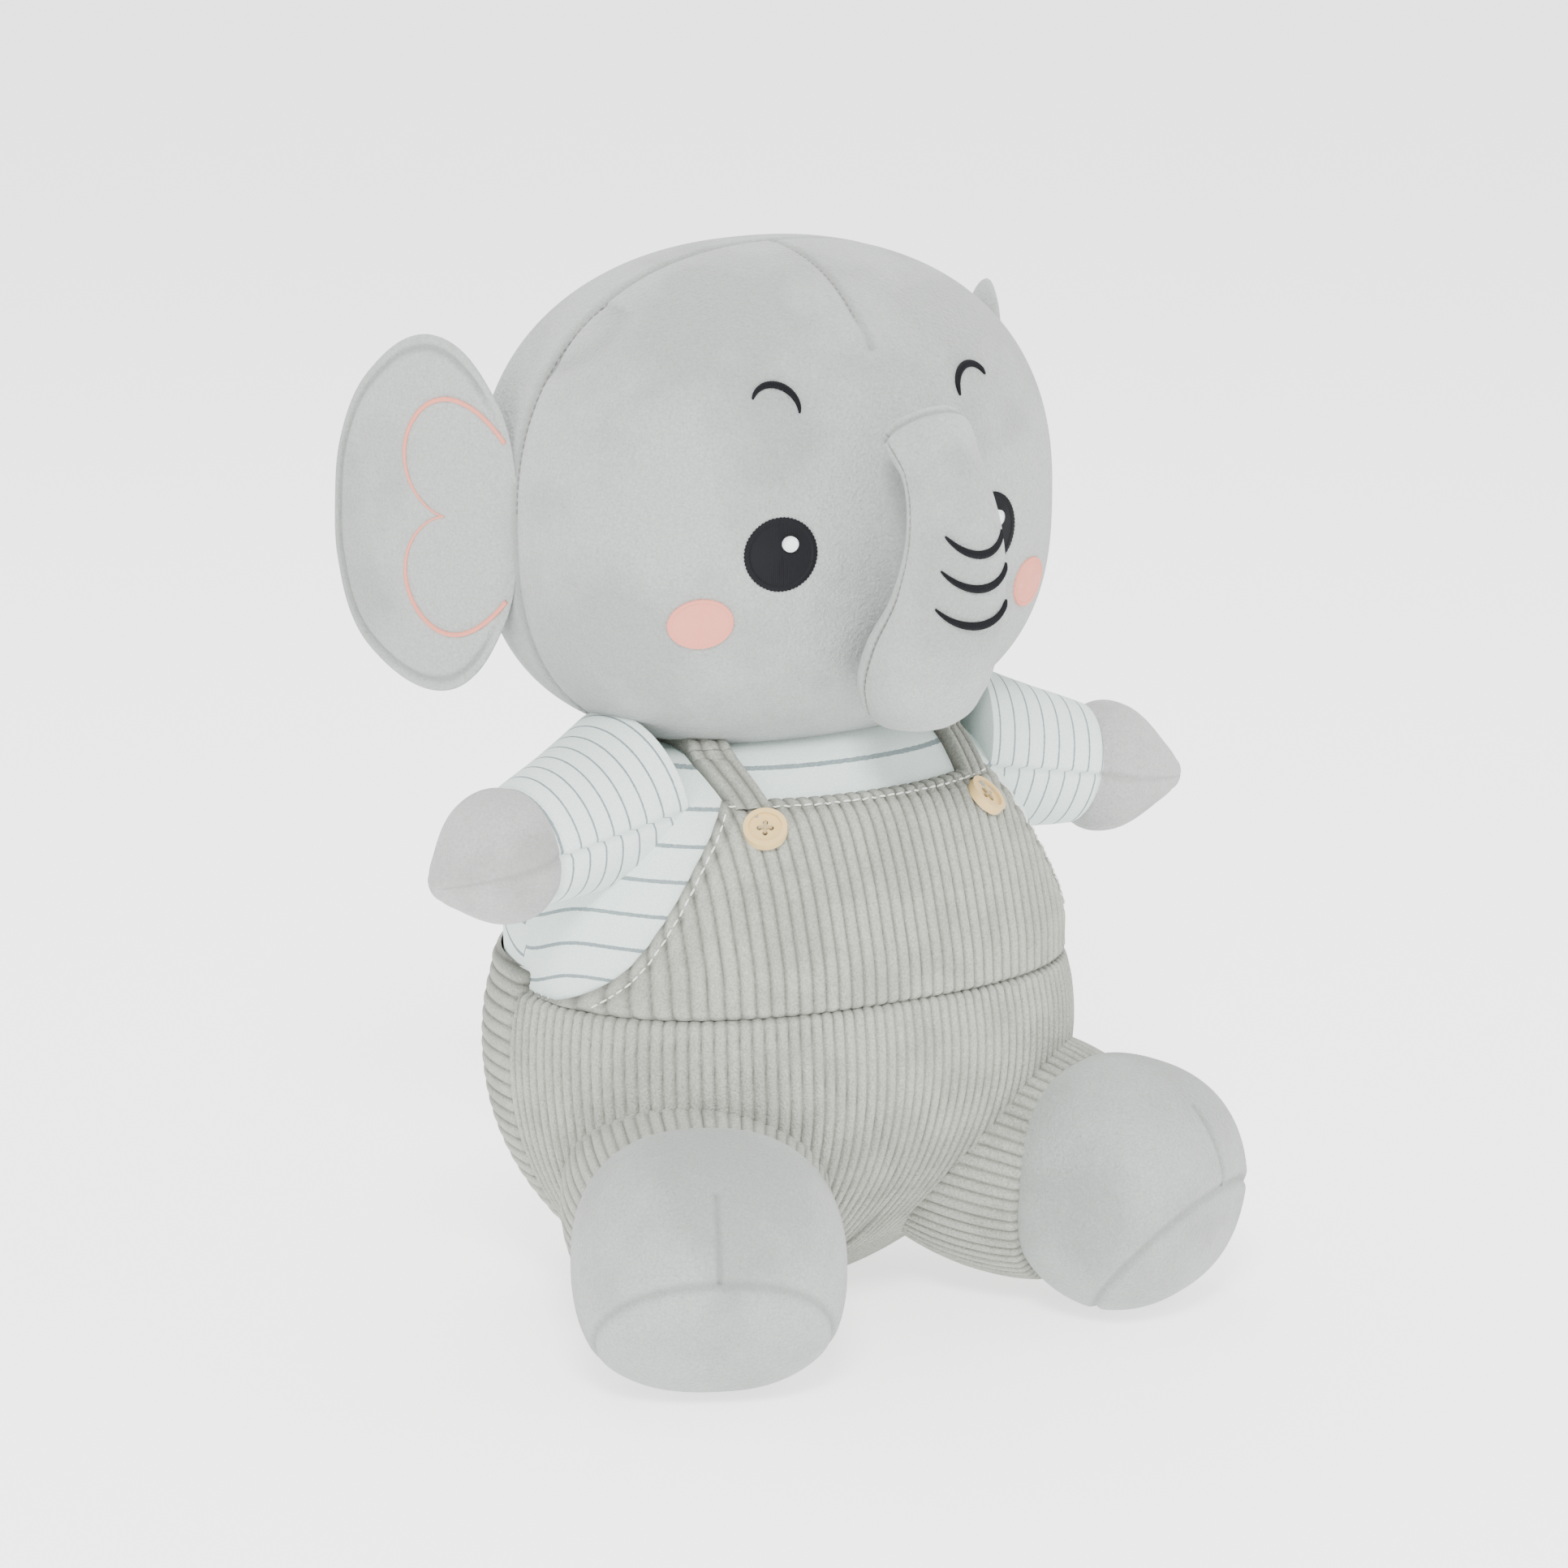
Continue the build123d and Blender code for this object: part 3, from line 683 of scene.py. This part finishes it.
# ear: a soft leaf drawn by its reach at each angle, padded on both sides, with a seam near the rim
def makeEar(key, s):
    lean = np.radians(earLook["lean"])
    away, up = np.array([s * np.cos(lean), np.sin(lean), 0]), np.array([0, 0, 1.0])
    out = np.array([s * np.sin(lean), -np.cos(lean), 0])
    root = np.array([s * earLook["root"][0], *earLook["root"][1:]])
    th = np.linspace(-np.pi, np.pi, 300, endpoint=False)
    rho = np.concatenate([np.linspace(0.02, 0.9, 50), np.linspace(0.91, 1, 16)])
    rings, turns = np.meshgrid(rho, th, indexing="ij")
    reach = smooth(earLook["angle"], earLook["reach"], np.degrees(turns))
    u, v = earLook["mid"] + rings * reach * np.cos(turns), rings * reach * np.sin(turns) - 1.0
    seam = valley((rings - 0.93) * 45, 0.9) * np.clip((u - 4) / 8, 0, 1)
    dish, curl = 1.2 * np.exp(-((rings / 0.5) ** 2)), 1.2 * rings**8
    frontHigh = earPad(rings, u) * 0.62 - dish - 1.1 * seam + 0.35 * lumps(np.stack([u, v, 0 * u], -1), 21, 12)
    sheet = root + u[..., None] * away + v[..., None] * up
    front = sheet + (frontHigh + curl)[..., None] * out
    back = (sheet + (curl - earPad(rings, u) * 0.9)[..., None] * out)[::-1]
    # painted shade along the rim seam; the back of the ear is a little darker all over
    tone = np.concatenate([np.clip(1 - 0.6 * seam, 0, 1), 0.9 + 0 * rings[1:]])
    both = np.concatenate([front, back[1:]])
    skin = gridMesh("earSkin_" + key, both, plush, caps=(True, True), tone=tone, flip=s > 0)
    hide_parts("ear_padding_" + key, "ear_front_panel_" + key, "ear_back_panel_" + key)
    # a heart on its side, its notch away from the head and its point under the root seam
    turn = 2 * np.pi * np.linspace(0, 1, 240)
    plump = 13 * np.cos(turn) - 5 * np.cos(2 * turn) - 2 * np.cos(3 * turn) - np.cos(4 * turn)
    u = earLook["heartAt"][0] + plump * earLook["heartScale"][0]
    v = earLook["heartAt"][1] + 16 * np.sin(turn) ** 3 * earLook["heartScale"][1]
    keep = u > earLook["heartStart"]
    order = np.roll(np.arange(240), -np.argmax(~keep))
    u, v, keep = u[order], v[order], keep[order]
    u, v = u[keep], v[keep]
    angle = np.degrees(np.arctan2(v + 1.0, u - earLook["mid"]))
    share = np.hypot(u - earLook["mid"], v + 1.0) / smooth(earLook["angle"], earLook["reach"], angle)
    high = earPad(share, u) * 0.62 - 1.2 * np.exp(-((share / 0.5) ** 2)) + 1.2 * share**8
    high = high + 0.35 * lumps(np.stack([u, v, 0 * u], -1), 21, 12)
    path = root + u[:, None] * away + v[:, None] * up + (high + 0.1)[:, None] * out
    outward = np.tile(out, (len(path), 1))
    heart = satinBand("heartBand_" + key, path, outward, heartWidth, pinkThread, "ear_" + key, 0.6)
    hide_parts("ear_heart_" + key)
    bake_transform(skin)


armLook = {"root": (56.0, -5.0, 154.0), "tip": (127.5, -19.0, 140.0), "hem": 41.0, "stripePitch": 5.4,
           "sleeveRun": [0, 10, 22, 34, 41.0], "sleeveWide": [26, 23.5, 21, 19, 17.6],
           "mittWide": [15.8, 18.0, 17.6, 9.4, 5.2, 2.0, 0.3]}


# two seams run along a limb, at its front and its back
def limbSeams(turn, radius):
    toBack, toFront = np.abs(np.angle(np.exp(1j * (turn - np.pi)))), np.abs(np.angle(np.exp(1j * turn)))
    return valley(toBack * radius, 0.8) + valley(toFront * radius, 0.8)


# three directions for a limb from one end to the other: along it, to its side and up
def limbAxes(start, end):
    along = (end - start) / np.linalg.norm(end - start)
    side = np.cross(along, [0, 0, 1.0])
    side /= np.linalg.norm(side)
    return along, side, np.cross(side, along)


# arm: a striped sleeve and a mitt with a blunt point
def makeArm(key, s):
    root, tip = (np.array([s * p[0], *p[1:]]) for p in (armLook["root"], armLook["tip"]))
    along, side, up = limbAxes(root, tip)
    whole, hem = np.linalg.norm(tip - root), armLook["hem"]
    turns, shares = np.meshgrid(np.linspace(0, 2 * np.pi, 200, endpoint=False), np.linspace(0, 1, 160))
    run = shares * hem
    seam, hemFold = limbSeams(turns, 18), valley(hem - run, 1.2)
    radius = smooth(armLook["sleeveRun"], armLook["sleeveWide"], run) - 0.7 * seam - 1.2 * hemFold
    radius = radius + 0.5 * lumps(np.stack([np.cos(turns) * 18, np.sin(turns) * 18, run], -1), 31, 12)
    spots = root + run[..., None] * along + (radius * np.cos(turns))[..., None] * side
    spots = spots + (radius * np.sin(turns))[..., None] * up
    shift = np.where(np.sin(turns) > 0, 0.0, 0.42)
    flat = np.stack([turns * 18, run / armLook["stripePitch"] + shift], -1)
    # painted shade along the seams and in the hem fold
    tone = np.clip(1 - 0.5 * seam - 0.4 * hemFold, 0, 1)
    sleeve = gridMesh("sleeveSkin_" + key, spots, shirt, caps=(True, True), flat=flat, tone=tone)
    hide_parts("sleeve_" + key, "arm_stuffing_" + key)
    run = hem - 1 + shares * (whole - hem + 1)
    stations = [hem - 1, hem + 4, hem + 12, whole - 8, whole - 3, whole - 0.5, whole]
    seam = limbSeams(turns, 14)
    radius = smooth(stations, armLook["mittWide"], run) * (1 - 0.04 * seam)
    radius = radius + 0.3 * lumps(np.stack([np.cos(turns) * 18, np.sin(turns) * 18, run], -1), 33, 10)
    spots = root + run[..., None] * along + (radius * np.cos(turns))[..., None] * side
    spots = spots + (radius * np.sin(turns) * 1.06)[..., None] * up
    # the mitt's tone is painted shade along its seams
    mitt = gridMesh("mittSkin_" + key, spots, plushHands, caps=(True, True), tone=np.clip(1 - 0.5 * seam, 0, 1))
    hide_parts("hand_" + key)
    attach(mitt, "arm_" + key)
    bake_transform(sleeve)


legLook = {"root": (43.0, -16.0, 45.0), "foot": (71.5, -72.0, 36.0), "hem": 47.0, "ribs": 62,
           "run": [0, 12, 26, 38, 47.0], "wide": [34, 36.5, 37.5, 36.5, 34.5], "flat": (0.93, 0.96),
           "footHalf": (38.0, 32.5, 35.8), "corner": 2.35, "soleTurn": 38, "soleAt": 20}


# leg: a short ribbed trouser leg, then a ball of a foot with a slanted sole
def makeLeg(key, s):
    root, middle = (np.array([s * p[0], *p[1:]]) for p in (legLook["root"], legLook["foot"]))
    along, side, up = limbAxes(root, middle)
    turns, shares = np.meshgrid(np.linspace(0, 2 * np.pi, 640, endpoint=False), np.linspace(0, 1, 70))
    run = shares * legLook["hem"]
    rib = np.abs(np.cos(turns * legLook["ribs"] / 2)) ** 0.55
    hemFold = valley(legLook["hem"] - run, 1.3)
    radius = smooth(legLook["run"], legLook["wide"], run) + 1.0 * rib - 2.2 * hemFold
    squash = np.where(np.sin(turns) < 0, legLook["flat"][1], legLook["flat"][0])
    spots = root + run[..., None] * along + (radius * np.cos(turns))[..., None] * side
    spots = spots + (radius * squash * np.sin(turns))[..., None] * up
    spots[..., 2] = np.maximum(spots[..., 2], 0.4)
    # the trouser tone is painted shade between the ribs and in the hem fold
    trouser = gridMesh("trouserSkin_" + key, spots, corduroy, caps=(True, True), tone=ribTone(rib, 0.5 * hemFold))
    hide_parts("trouser_leg_" + key, "leg_stuffing_" + key)
    elevation = np.linspace(-np.pi / 2 + 0.01, np.pi / 2 - 0.01, 180)
    turns, rises = np.meshgrid(np.linspace(0, 2 * np.pi, 300, endpoint=False), elevation)
    d = np.stack([np.cos(rises) * np.cos(turns), np.sin(rises), np.cos(rises) * np.sin(turns)], -1)
    n = legLook["corner"]
    reach = (np.abs(d / np.array(legLook["footHalf"])) ** n).sum(-1) ** (-1 / n)
    ball = d * reach[..., None]
    slant = np.radians(legLook["soleTurn"])
    tread = ball[..., 1] * np.cos(slant) - ball[..., 2] * np.sin(slant)
    soleSeam = valley(tread - legLook["soleAt"], 1.0)
    onTop = (tread < legLook["soleAt"]) & (tread > -2) & (ball[..., 2] > 0)
    dart = np.where(onTop, valley(ball[..., 0], 0.9), 0)
    flatSole = np.clip(tread - legLook["soleAt"], 0, 30) * 0.25
    puff = 0.6 * lumps(ball, 41, 16)
    ball = ball * ((reach - 1.2 * soleSeam - 0.9 * dart - flatSole + puff) / reach)[..., None]
    spots = middle + ball @ np.array([side, along, [0, 0, 1.0]])
    spots[..., 2] = np.maximum(spots[..., 2], 0.3)
    # painted shade in the sole seam and the top dart
    tone = np.clip(1 - 0.55 * soleSeam - 0.5 * dart, 0, 1)
    foot = gridMesh("footSkin_" + key, spots, plush, caps=(True, True), tone=tone)
    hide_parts("foot_upper_" + key, "foot_sole_" + key)
    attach(foot, "leg_" + key)
    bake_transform(trouser)


for key, s in sides.items():
    makeEar(key, s)
    makeArm(key, s)
    makeLeg(key, s)

print("stage: finish")
bpy.context.view_layer.update()
bodyMiddle = Vector((0, 0.004, 0.09))


# closed pieces get their outside worked out; open panels are turned if most of them look at the body's middle
def turnOutward(mesh):
    work = bmesh.new()
    work.from_mesh(mesh)
    if not any(edge.is_boundary for edge in work.edges):
        bmesh.ops.recalc_face_normals(work, faces=work.faces)
        work.to_mesh(mesh)
    elif sum(f.normal.dot(f.calc_center_median() - bodyMiddle) for f in work.faces) < 0:
        bmesh.ops.reverse_faces(work, faces=work.faces)
        work.to_mesh(mesh)
    work.free()


for obj in [o for o in bpy.data.objects if o.type == "MESH" and not o.hide_render]:
    if obj.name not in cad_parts:
        turnOutward(obj.data)

floor = bpy.data.meshes.new("floor")
floor.from_pydata([(-6, -6, 0), (6, -6, 0), (6, 6, 0), (-6, 6, 0)], [], [[0, 1, 2, 3]])
floorObj = bpy.data.objects.new("floor", floor)
bpy.context.scene.collection.objects.link(floorObj)
floorPaint = plainMaterial("floorPaint", (0.93, 0.93, 0.93), 0.9)
floorShader = floorPaint.node_tree.nodes["Principled BSDF"]
floorShader.inputs["Emission Color"].default_value = (1, 1, 1, 1)
floorShader.inputs["Emission Strength"].default_value = 1.5
floor.materials.append(floorPaint)
world = bpy.data.worlds.new("studio")
bpy.context.scene.world = world
world.use_nodes = True
world.node_tree.nodes["Background"].inputs[0].default_value = (1, 1, 1, 1)
world.node_tree.nodes["Background"].inputs[1].default_value = 1.45
# each lamp: where it stands, its size and its strength
lamps = {"key": ((-0.9, -1.3, 1.5), 0.5, 52.0), "fill": ((1.3, -0.9, 0.8), 1.2, 9.0),
         "top": ((0.1, 0.6, 1.6), 1.0, 20.0)}
for name, (place, size, watts) in lamps.items():
    data = bpy.data.lights.new(name, "AREA")
    data.size, data.energy = size, watts
    lamp = bpy.data.objects.new(name, data)
    lamp.location = place
    lamp.rotation_euler = (Vector((0, 0, 0.15)) - Vector(place)).to_track_quat("-Z", "Y").to_euler()
    bpy.context.scene.collection.objects.link(lamp)
view = {"turn": -33.0, "rise": 13.2, "distance": 1.8, "aim": (0, 0, 0.1495), "lens": 143.3}
e, t = np.radians(view["rise"]), np.radians(view["turn"])
back = Vector((np.sin(t) * np.cos(e), -np.cos(t) * np.cos(e), np.sin(e)))
camData = bpy.data.cameras.new("camera")
camData.lens = view["lens"]
cam = bpy.data.objects.new("camera", camData)
cam.location = Vector(view["aim"]) + back * view["distance"]
cam.rotation_euler = back.to_track_quat("Z", "Y").to_euler()
bpy.context.scene.collection.objects.link(cam)
bpy.context.scene.camera = cam
